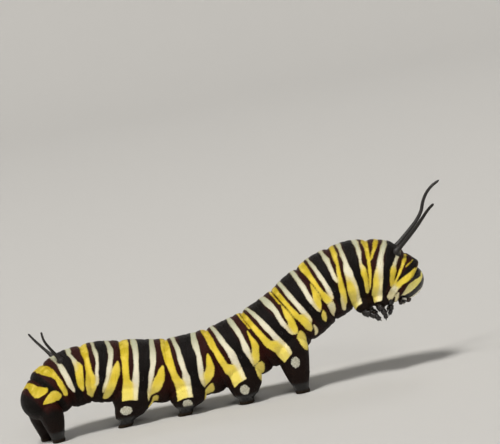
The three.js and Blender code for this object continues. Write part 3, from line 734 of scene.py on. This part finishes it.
def proleg_shape(proleg, size, sign):
    foot, root, level, side, belly = proleg_frame(proleg, size, sign)
    long, wide, cone = size["long"], size["wide"], proleg[3]
    # Height above the floor, half length and half width, from the foot up into the body
    profile = np.array(
        [
            (0.0, long * 0.92, wide * 0.9),
            (0.1, long * 1.0, wide * 1.0),
            (0.27, long * 1.0, wide * 1.0),
            (0.42, long * 0.84, wide * 0.88),
            (0.62, long * 1.0, wide * 1.1),
            (max(0.95, belly * 0.5), cone * 0.7, wide * 1.6),
            (max(1.35, belly * 0.95), cone * 0.93, wide * 2.0),
            (belly + 0.7, cone, wide * 2.2),
            (belly + 1.9, cone * 0.95, wide * 1.8),
        ]
    )
    heights = np.concatenate([[0, 0.05], np.arange(0.1, belly + 1.9, 0.06), [belly + 1.9]])
    turns = np.linspace(0, 2 * math.pi, 72, endpoint=False)
    rings = []
    for height in heights:
        half_long = np.interp(height, profile[:, 0], profile[:, 1])
        half_wide = np.interp(height, profile[:, 0], profile[:, 2])
        creases = 1 - 0.045 * bump(height - 0.8, 0.07) - 0.04 * bump(height - 1.25, 0.08)
        heart = foot + (root - foot) * min(height / belly, 1)
        heart[2] = height
        lobes = 1 + 0.03 * np.cos(3 * turns) * (height < 0.4)
        ring = np.outer(np.cos(turns), level * half_long) + np.outer(np.sin(turns), side * half_wide)
        rings.append(heart + ring * lobes[:, None] * creases)
    return loft(rings)


def leg_base_shape(place, sign):
    root, inward = root_of(LEGS[place], sign)
    height, radius = LEG_BASES[place]
    steps = np.array([-1.6, -0.2, height * 0.55, height * 0.85, height])
    shares = np.array([1.2, 1.15, 0.96, 0.72, 0.4])
    return tube(root - np.outer(steps, inward), radius * shares, 40)


def body_shape():
    s = np.concatenate([np.linspace(0.004, 0.3, 14), np.arange(0.36, BODY_LENGTH, 0.09), [BODY_LENGTH]])
    angles = np.linspace(0, -2 * math.pi, 160, endpoint=False)
    rings = section(s[:, None] + 0 * angles, angles + 0 * s[:, None])
    centre, forward, _, _ = station(np.array(BODY_LENGTH))
    closed = centre + forward * 0.02 + (rings[-1] - centre) * 0.6
    return loft(np.concatenate([rings, closed[None]]))


def remeshed(points, faces, voxel):
    """One closed skin round all the forms."""
    rough = mesh_object("rough_form", points, faces, 1.0)
    change = rough.modifiers.new("one_skin", "REMESH")
    change.mode = "VOXEL"
    change.voxel_size = voxel
    graph = bpy.context.evaluated_depsgraph_get()
    mesh = bpy.data.meshes.new_from_object(rough.evaluated_get(graph))
    bpy.data.objects.remove(rough)
    return mesh


def averaged(points, edges, rounds, share=0.5):
    """Points moved towards the middle of their neighbours."""
    count = np.bincount(edges.ravel(), minlength=len(points))[:, None]
    for _ in range(rounds):
        total = np.zeros_like(points)
        for axis in range(3):
            total[:, axis] = np.bincount(edges[:, 0], points[edges[:, 1], axis], len(points))
            total[:, axis] += np.bincount(edges[:, 1], points[edges[:, 0], axis], len(points))
        points = points * (1 - share) + share * total / np.maximum(count, 1)
    return points


def body_places(points):
    """Each point's place along the body, angle from the back's midline and height over the plain section."""
    samples = np.arange(0, BODY_LENGTH + 0.01, 0.1)
    centres = station(samples)[0]
    nearest = np.empty(len(points), int)
    for k in range(0, len(points), 20000):
        part = points[k : k + 20000]
        gaps = (part**2).sum(1)[:, None] - 2 * part @ centres.T + (centres**2).sum(1)
        nearest[k : k + 20000] = gaps.argmin(1)
    s = samples[nearest]
    for _ in range(4):
        centre, forward, _, _ = station(s)
        s = np.clip(s + 0.8 * ((points - centre) * forward).sum(1), 0, BODY_LENGTH)
    centre, _, right, up = station(s)
    x = ((points - centre) * right).sum(1)
    z = ((points - centre) * up).sum(1)
    width, depth = along(s, WIDTH) / 2, along(s, DEPTH) / 2
    below = np.where(z < 0, 1 + BELLY_FULLNESS, 1)
    angle = np.arctan2(x / width, z / (depth * below))
    height = np.hypot(x, z) - np.linalg.norm(section(s, angle) - centre, axis=1)
    return s, angle, height


def stripe_field(s, away, colour_name):
    """Distance in millimetres inside the nearest stripe of a colour, negative outside all of them."""
    field = np.full(len(s), -2.0)
    for k, (segment, stripes) in enumerate(STRIPES.items()):
        i = NAMES.index(segment)
        start, length = STARTS[i], LENGTHS[i]
        near = (s > start - 1.2) & (s < start + length + 1.2)
        for n, (name, rows) in enumerate(stripes):
            if name != colour_name:
                continue
            rows = np.array(rows)
            phase = k * 1.7 + n * 2.9
            wobble = EDGE_WOBBLE * (np.sin(away[near] / 13 + phase) + np.sin(away[near] / 5.3 + 2 * phase))
            rear = start + length * np.interp(away[near], rows[:, 0], rows[:, 1]) + wobble
            front = start + length * np.interp(away[near], rows[:, 0], rows[:, 2]) - 0.6 * wobble
            inside = np.minimum(s[near] - rear, front - s[near])
            cap = np.clip((front - rear) / 2, 0.02, ROUND_END)
            past = np.maximum(rows[0, 0] - away[near], away[near] - rows[-1, 0]) * ARC + cap
            rounded = cap - np.hypot(np.maximum(past, 0), np.maximum(cap - inside, 0))
            field[near] = np.maximum(field[near], np.where(past > 0, rounded, inside))
    return field


def velvet_middle(name, away):
    """Place along the body of the middle of a segment's broad black band."""
    i = NAMES.index(name)
    high, low, _ = VELVET[name]
    return STARTS[i] + LENGTHS[i] * (high + (low - high) * smooth(away, 30, 110))


def velvet_field(s, away):
    """1 on the broad black bands, 0 on the thin reddish ones."""
    field = np.zeros(len(s))
    for name, (_, _, half) in VELVET.items():
        apart = np.abs(s - velvet_middle(name, away)) / LENGTHS[NAMES.index(name)]
        field = np.maximum(field, 1 - smooth(apart, half * 0.7, half * 1.3))
    return field


def spot_field(points):
    """Distance inside the pale spots of the leg bases."""
    field = np.full(len(points), -1.0)
    for segment, x, z, long, high in SPOTS:
        centre, _, right, _ = station(np.array(MIDDLES[NAMES.index(segment)]))
        reach = np.hypot((points[:, 0] - x) / long, (points[:, 2] - z) / high)
        outside = np.abs((points - centre) @ right) > 0.7
        field = np.maximum(field, np.where(outside, (1 - reach) * min(long, high), -1.0))
    return field


def proleg_fields(points):
    """White dots, glossy shields and soft pads on the prolegs."""
    dot = np.full(len(points), -1.0)
    gloss = np.zeros(len(points))
    pad = np.zeros(len(points))
    everything = [(p, PROLEG_SIZE) for p in PROLEGS.values()] + [(ANAL_PROLEG, ANAL_PROLEG_SIZE)]
    for proleg, size in everything:
        for sign in SIDES.values():
            foot, _, level, side, _ = proleg_frame(proleg, size, sign)
            offset = points - foot
            ahead, out = offset @ level, offset @ side
            near = (np.abs(ahead) < 2.2) & (np.abs(out) < 1.6)
            outer = smooth(out, -0.1, 0.25)
            height = points[:, 2]
            if proleg[4]:
                forward, up, *halves = proleg[4]
                reach = np.hypot((ahead - forward) / halves[0], (height - up) / halves[1])
                dot = np.maximum(dot, np.where(near & (out > 0), (1 - reach) * min(halves), -1.0))
            shield = outer * smooth(height, 0.3, 0.42) * (1 - smooth(height, 0.95, 1.2)) * near
            gloss = np.maximum(gloss, shield * (np.abs(ahead) < 1.2))
            pad = np.maximum(pad, (1 - smooth(height, 0.22, 0.34)) * near)
    return dot, gloss, pad


def filament_roots(points):
    """Distance of each point from the nearest filament's root."""
    gap = np.full(len(points), 9.0)
    for name, limb in FILAMENTS.items():
        root, _ = root_of(limb, 1 if name.endswith("right") else -1)
        gap = np.minimum(gap, np.linalg.norm(points - root, axis=1))
    return gap


def set_attribute(mesh, name, values, kind="FLOAT"):
    made = mesh.attributes.new(name, kind, "POINT")
    made.data.foreach_set("value" if kind == "FLOAT" else "vector", np.asarray(values, np.float32).ravel())


def make_skin():
    shapes = [body_shape()]
    for sign in SIDES.values():
        shapes += [proleg_shape(proleg, PROLEG_SIZE, sign) for proleg in PROLEGS.values()]
        shapes.append(proleg_shape(ANAL_PROLEG, ANAL_PROLEG_SIZE, sign))
        shapes += [leg_base_shape(place, sign) for place in LEGS]
    mesh = remeshed(*joined(shapes), VOXEL)
    edges = np.empty(len(mesh.edges) * 2, int)
    mesh.edges.foreach_get("vertices", edges)
    edges = edges.reshape(-1, 2)
    points = averaged(mesh_points(mesh), edges, 5)
    s, angle, height = body_places(points)
    on_body = 1 - smooth(height, 0.04, 0.3)
    on_body *= 1 - smooth(s, BODY_LENGTH - 0.1, BODY_LENGTH - 0.02)
    exact = section(s, angle, relief(s, angle))
    centre = station(s)[0]
    outward = unit(points - centre)
    limb = points + outward * (relief(s, angle) * 0.5 * (1 - smooth(height, 0.3, 1.2)))[:, None]
    points = limb * (1 - on_body[:, None]) + exact * on_body[:, None]
    points[:, 2] = np.maximum(points[:, 2], 0.004)
    away = np.abs(np.degrees(angle))
    dot, gloss, pad = proleg_fields(points)
    bare = filament_roots(points) - BARE_RING
    footed = 0.6 - smooth(height, 0.6, 1.1) * 1.2
    on_base = smooth(height, 0.45, 0.75) * (s > STARTS[NAMES.index("metathorax")])
    cover = np.minimum(np.minimum(bare, footed), 0.3 - on_base * 0.9)
    spots = spot_field(points)
    set_attribute(mesh, "yellow", np.minimum(stripe_field(s, away, "yellow"), cover))
    set_attribute(mesh, "white", np.maximum(np.minimum(stripe_field(s, away, "white"), cover), spots))
    set_attribute(mesh, "velvet", np.maximum(velvet_field(s, away), smooth(height, 0.25, 0.7)))
    set_attribute(mesh, "low", away / 180)
    set_attribute(mesh, "dot", dot)
    set_attribute(mesh, "gloss", gloss)
    set_attribute(mesh, "pad", pad)
    set_attribute(mesh, "place", np.stack([s, angle * 3, height], -1), "FLOAT_VECTOR")
    finish_mesh(mesh, points, skin_material())
    made = bpy.data.objects.new("skin", mesh)
    bpy.context.scene.collection.objects.link(made)
    prolegs = [f"proleg_{n}_{side}" for n in [*PROLEGS, "anal"] for side in SIDES]
    finish_piece(made, "banded_skin", *NAMES, *prolegs)


# Filaments
def make_filaments():
    look, tree, shader, grain = grained_material("filament_cuticle", 7000.0, 0.02, 0.5)
    mottled = mix(tree, between(tree, grain, 0.4, 0.8), colour("0e0a08"), colour("231914"))
    tree.links.new(mottled, shader.inputs["Base Color"])
    for name, limb in FILAMENTS.items():
        corners, inward = limb_line(limb, 1 if name.endswith("right") else -1)
        path = smooth_path(corners, FILAMENT_POINTS)
        path = np.concatenate([[path[0] + inward * 0.35, path[0] + inward * 0.12], path])
        t = np.linspace(0, 1, FILAMENT_POINTS)
        length, radius = limb[3:5]
        flare = FLARE * np.exp(-t * length / FLARE_REACH)
        rings = 1 + 0.03 * np.sin(t * length * 21)
        radii = (radius * (1 - THINNING * t) + flare) * rings
        radii[-3:] = radii[-4] * np.array([0.85, 0.6, 0.25])
        radii = np.concatenate([[radii[0] * 1.5, radii[0] * 1.2], radii])
        dressed(name + "_tube", tube(path, radii), look, "black_skin", name)


# Legs: three tapered lengths with narrow joints, and a claw
def make_legs(look):
    for place, limb in LEGS.items():
        for side, sign in SIDES.items():
            corners, inward = limb_line(limb, sign)
            corners = corners - inward * LEG_BASES[place][0]
            radius = limb[4]
            path = [corners[0] + inward * 0.8, corners[0] + inward * 0.3]
            radii = [radius * 1.25, radius * 1.2]
            for k, thickness in enumerate(LEG_TAPER):
                for t in np.linspace(0.02, 0.98, 16):
                    path.append(corners[k] * (1 - t) + corners[k + 1] * t)
                    joint = bump(t, 0.09) * (0.3 if k else 0.0) + bump(1 - t, 0.07) * 0.34
                    swelling = 1 + 0.1 * bump(t - 0.75, 0.2)
                    radii.append(radius * thickness * (1 - 0.16 * t) * (1 - joint) * swelling)
            path, radii = np.array(path), np.array(radii)
            way = unit(corners[3] - corners[2])
            hook = unit(way + np.array([0.0, 0.0, -0.5]) + inward * 0.4)
            radii[-2:] *= 0.8
            claw = [corners[3] - way * 0.12, corners[3] + way * 0.06, corners[3] + way * 0.1 + hook * 0.1]
            claw_shape = tube(smooth_path(claw, 10), np.linspace(0.11, 0.012, 10), 10)
            shape = joined([tube(averaged_path(path), radii, 20), claw_shape])
            dressed(f"leg_{place}_{side}_joints", shape, look, "black_horn", f"leg_{place}_{side}")


def averaged_path(path):
    """A path with its corners eased."""
    eased = path.copy()
    for _ in range(3):
        eased[1:-1] = (eased[:-2] + 2 * eased[1:-1] + eased[2:]) / 4
    return eased


# Head
def head_axes():
    centre, _, _, _ = station(np.array(BODY_LENGTH))
    forward = heading(np.array(float(HEAD["pitch"])), along(np.array(BODY_LENGTH), YAW))
    right = unit(np.array([forward[1], -forward[0], 0.0]))
    return centre, np.stack([forward, -right, np.cross(right, forward)])


HEAD_CENTRE, HEAD_AXES = head_axes()


def from_head(points):
    return np.asarray(points) @ HEAD_AXES + HEAD_CENTRE


def head_direction(side, up):
    a, b = np.radians(side), np.radians(up)
    return np.stack([np.cos(a) * np.cos(b), -np.sin(a) * np.cos(b), np.sin(b) + 0 * a], -1)


def head_point(d, grow=0.0):
    x, y, z = d[..., 0], d[..., 1], d[..., 2]
    depth = np.where(x > 0, HEAD["front"], HEAD["back"])
    crown = np.maximum(z, 0) ** 2 * HEAD["cleft"] * bump(y, 0.16)
    jaw = np.where(z < 0, 1 - 0.14 * z**2, 1)
    across = y * (HEAD["side"] * jaw + grow)
    return np.stack([x * (depth + grow), across, z * (HEAD["up"] + grow) - crown], -1)


def two_edged_field(side, up, rows):
    """Distance in millimetres inside a band of the head, negative outside it."""
    rows = np.array(rows, float)
    order = rows[:, 0].argsort()
    front = np.interp(up, rows[order, 0], rows[order, 1])
    rear = np.interp(up, rows[order, 0], rows[order, 2])
    inside = np.minimum(side - front, rear - side) * HEAD_ARC * np.cos(np.radians(up))
    cap = np.clip((rear - front) / 2 * HEAD_ARC * np.cos(np.radians(up)), 0.02, 0.2)
    past = np.maximum(rows[:, 0].min() - up, up - rows[:, 0].max()) * HEAD_ARC + cap
    rounded = cap - np.hypot(np.maximum(past, 0), np.maximum(cap - inside, 0))
    return np.where(past > 0, rounded, inside)


def make_head():
    bpy.ops.mesh.primitive_ico_sphere_add(subdivisions=6, radius=1.0)
    made = bpy.context.object
    made.name = "head_capsule"
    mesh = made.data
    d = unit(mesh_points(mesh))
    side = np.abs(np.degrees(np.arctan2(d[:, 1], d[:, 0])))
    up = np.degrees(np.arcsin(np.clip(d[:, 2], -1, 1)))
    triangle = np.interp(up, [-55, 30], [34, 0])
    on_face = (up < 31) & (up > -60) & (side < 60)
    suture = bump((side - triangle) * 0.026 * np.cos(np.radians(up)), 0.05) * on_face
    crown = bump(d[:, 1], 0.03) * smooth(up, 26, 34) * (d[:, 0] > -0.2)
    clypeus = bump((up + 44) * 0.028, 0.05) * (side < 26)
    cheek = 0.05 * bump(side - 62, 16) * bump(up + 24, 18)
    sunk = smooth(triangle - side, 0, 8) * 0.04 * ((up < 30) & (up > -44))
    grow = cheek - 0.035 * suture - 0.05 * crown - 0.03 * clypeus - sunk
    set_attribute(mesh, "yellow", two_edged_field(side, up, OUTER_BAND))
    set_attribute(mesh, "white", two_edged_field(side, up, INNER_BAND))
    set_attribute(mesh, "red", smooth(side, 76, 100) * (1 - smooth(up, 0, 40)))
    set_attribute(mesh, "low", (30 - up) / 90)
    finish_mesh(mesh, from_head(head_point(d) + d * grow[:, None]), head_material())
    finish_piece(made, "banded_skin", "head")


def bead(centre, radii, axes):
    """A closed egg-shaped bead."""
    turns = np.linspace(0, 2 * math.pi, 20, endpoint=False)
    rings = []
    for lat in np.linspace(-math.pi / 2 + 0.05, math.pi / 2 - 0.05, 13):
        wide = math.cos(lat)
        ring = np.stack([np.cos(turns) * wide, np.sin(turns) * wide, 0 * turns + math.sin(lat)], -1)
        rings.append(centre + ring * radii @ axes)
    return loft(rings)


def make_feelers():
    look = feeler_material()
    t = np.linspace(0, 1, FEELER["points"])
    for side, sign in SIDES.items():
        root_side, root_up = FEELER["root"]
        way_side, way_up = FEELER["way"]
        root = head_point(head_direction(sign * root_side, root_up), -0.12)
        way = head_direction(sign * way_side, way_up)
        path = [from_head(root + way * FEELER["length"] * share) for share in t]
        radii = 0.23 - 0.06 * smooth(t, 0.5, 0.56) - 0.06 * smooth(t, 0.76, 0.8) - 0.07 * smooth(t, 0.93, 1.0)
        points, faces = tube(path, radii, 16)
        made = dressed(f"antenna_{side}_joints", (points, faces), look, "black_horn", f"antenna_{side}")
        light = smooth(t, 0.22, 0.3) * (1 - smooth(t, 0.46, 0.5)) + 0.55 * smooth(t, 0.84, 0.9)
        set_attribute(made.data, "light", np.concatenate([np.repeat(light, 16), [0.0, 0.55]]))


def make_face(horn, brown):
    eyes = []
    for side, sign in SIDES.items():
        for i in range(EYES["count"]):
            turn = math.radians(-60 + i * 48)
            aside = EYES["side"] + EYES["half_side"] * math.cos(turn)
            at = head_point(head_direction(sign * aside, EYES["up"] + EYES["half_up"] * math.sin(turn)))
            eyes.append(bead(from_head(at), EYES["radius"], HEAD_AXES))
        root = head_point(head_direction(sign * 35.0, -68.0), -0.2)
        root[1] = -sign * 0.4
        curve = [root + np.array([d * 0.3, sign * 0.12 * d, -d]) for d in (0, 0.3, 0.55, 0.76)]
        radii = np.interp(np.linspace(0, 1, 20), [0, 0.6, 1], [0.3, 0.28, 0.12])
        blade = tube(from_head(smooth_path(curve, 20)), radii, 16, 0.85)
        dressed(f"mandible_{side}_blade", blade, brown, "black_horn", f"mandible_{side}")
    dressed("stemmata", joined(eyes), horn, "black_horn")
    lip = from_head(head_point(head_direction(0.0, -50.0)))
    dressed("labrum", bead(lip, np.array([0.36, 0.56, 0.34]), HEAD_AXES), brown, "banded_skin")


# Breathing holes: a raised oval rim for each
def make_spiracles(look):
    shapes = []
    for name in NAMES[2:10]:
        for sign in SIDES.values():
            s = np.array(velvet_middle(name, SPIRACLE["angle"]))
            angle = np.array(sign * math.radians(SPIRACLE["angle"]))
            middle = section(s, angle, relief(s, angle) - 0.02)
            centre, forward, _, _ = station(s)
            out = unit(middle - centre)
            high = np.cross(out, forward)
            count, sides = SPIRACLE["points"], SPIRACLE["sides"]
            turns = np.linspace(0, 2 * math.pi, count, endpoint=False)
            oval = middle + np.outer(np.cos(turns) * SPIRACLE["half_long"], forward)
            oval = oval + np.outer(np.sin(turns) * SPIRACLE["half_high"], high)
            away = unit(oval - middle)
            rings = []
            for turn in np.linspace(0, 2 * math.pi, sides, endpoint=False):
                rings.append(oval + SPIRACLE["rim"] * (math.cos(turn) * away + math.sin(turn) * out))
            points = np.stack(rings, 1).reshape(-1, 3)
            faces = []
            for a in range(count):
                for b in range(sides):
                    c, e = (a + 1) % count, (b + 1) % sides
                    corners = [(a, b), (c, b), (c, e), (a, e)]
                    faces.append([row * sides + column for row, column in corners])
            shapes.append((points, faces))
    dressed("spiracles", joined(shapes), look, "black_horn")


# Stage, lights and camera
def make_stage():
    turns = np.linspace(0, 2 * math.pi, 96, endpoint=False)
    rise = np.linspace(0, math.pi / 2, 24)
    radii = np.concatenate([[0.02, FLOOR_RADIUS / 2], FLOOR_RADIUS + COVE_RADIUS * np.sin(rise)])
    heights = np.concatenate([[0, 0], COVE_RADIUS * (1 - np.cos(rise))])
    rings = []
    for radius, height in zip(radii, heights):
        rings.append(np.stack([radius * np.cos(turns), radius * np.sin(turns), height + 0 * turns], -1))
    points, faces = loft(rings)
    faces = [face for face in faces if len(points) - 1 not in face]
    floor = mesh_object("floor", points, faces, 1.0)
    look, _, shader = material("pale_floor")
    shader.inputs["Base Color"].default_value = FLOOR_COLOUR
    shader.inputs["Roughness"].default_value = 0.9
    shader.inputs["Specular IOR Level"].default_value = 0.15
    floor.data.materials.append(look)


def area_light(name, place, size, power, tint):
    light = bpy.data.lights.new(name, "AREA")
    light.shape = "DISK"
    light.size = size
    light.energy = power
    light.color = tint
    made = bpy.data.objects.new(name, light)
    bpy.context.scene.collection.objects.link(made)
    back = unit(np.array(place) - np.array(LIGHT_AIM))
    right = unit(np.cross([0.0, 0.2, 1.0], back))
    turn_to(made, place, right, np.cross(back, right), back)


def turn_to(made, place, right, up, back):
    matrix = np.eye(4)
    matrix[:3] = np.stack([right, up, back, place], 1)
    made.matrix_world = Matrix(matrix.tolist())


def make_lights():
    world = bpy.data.worlds.new("studio")
    world.use_nodes = True
    background = world.node_tree.nodes["Background"]
    background.inputs["Color"].default_value = WORLD_COLOUR
    background.inputs["Strength"].default_value = WORLD_STRENGTH
    bpy.context.scene.world = world
    for name, light in LIGHTS.items():
        area_light(name, *light)


def make_camera():
    e, r = math.radians(CAMERA_ELEVATION), math.radians(CAMERA_ROLL)
    right = np.array([1.0, 0.0, 0.0])
    up = np.array([0.0, math.sin(e), math.cos(e)])
    back = np.array([0.0, -math.cos(e), math.sin(e)])
    data = bpy.data.cameras.new("camera")
    data.lens = SENSOR_WIDTH * CAMERA_DISTANCE / VIEW_WIDTH
    data.sensor_width = SENSOR_WIDTH
    data.clip_start, data.clip_end = 0.01, 10
    made = bpy.data.objects.new("camera", data)
    bpy.context.scene.collection.objects.link(made)
    place = (AIM + back * CAMERA_DISTANCE) * MILLIMETRE
    rolled = (right * math.cos(r) - up * math.sin(r), right * math.sin(r) + up * math.cos(r))
    turn_to(made, place, *rolled, back)
    bpy.context.scene.camera = made


make_camera()
make_lights()
make_stage()
make_skin()
make_filaments()
horn = horn_material("black_cuticle", "0b0909", "1c1311", 0.16)
brown = horn_material("jaw_cuticle", "180c08", "3a1a0e", 0.2)
make_legs(horn)
make_head()
make_face(horn, brown)
make_feelers()
make_spiracles(horn)
bpy.context.scene.view_settings.view_transform = "Standard"
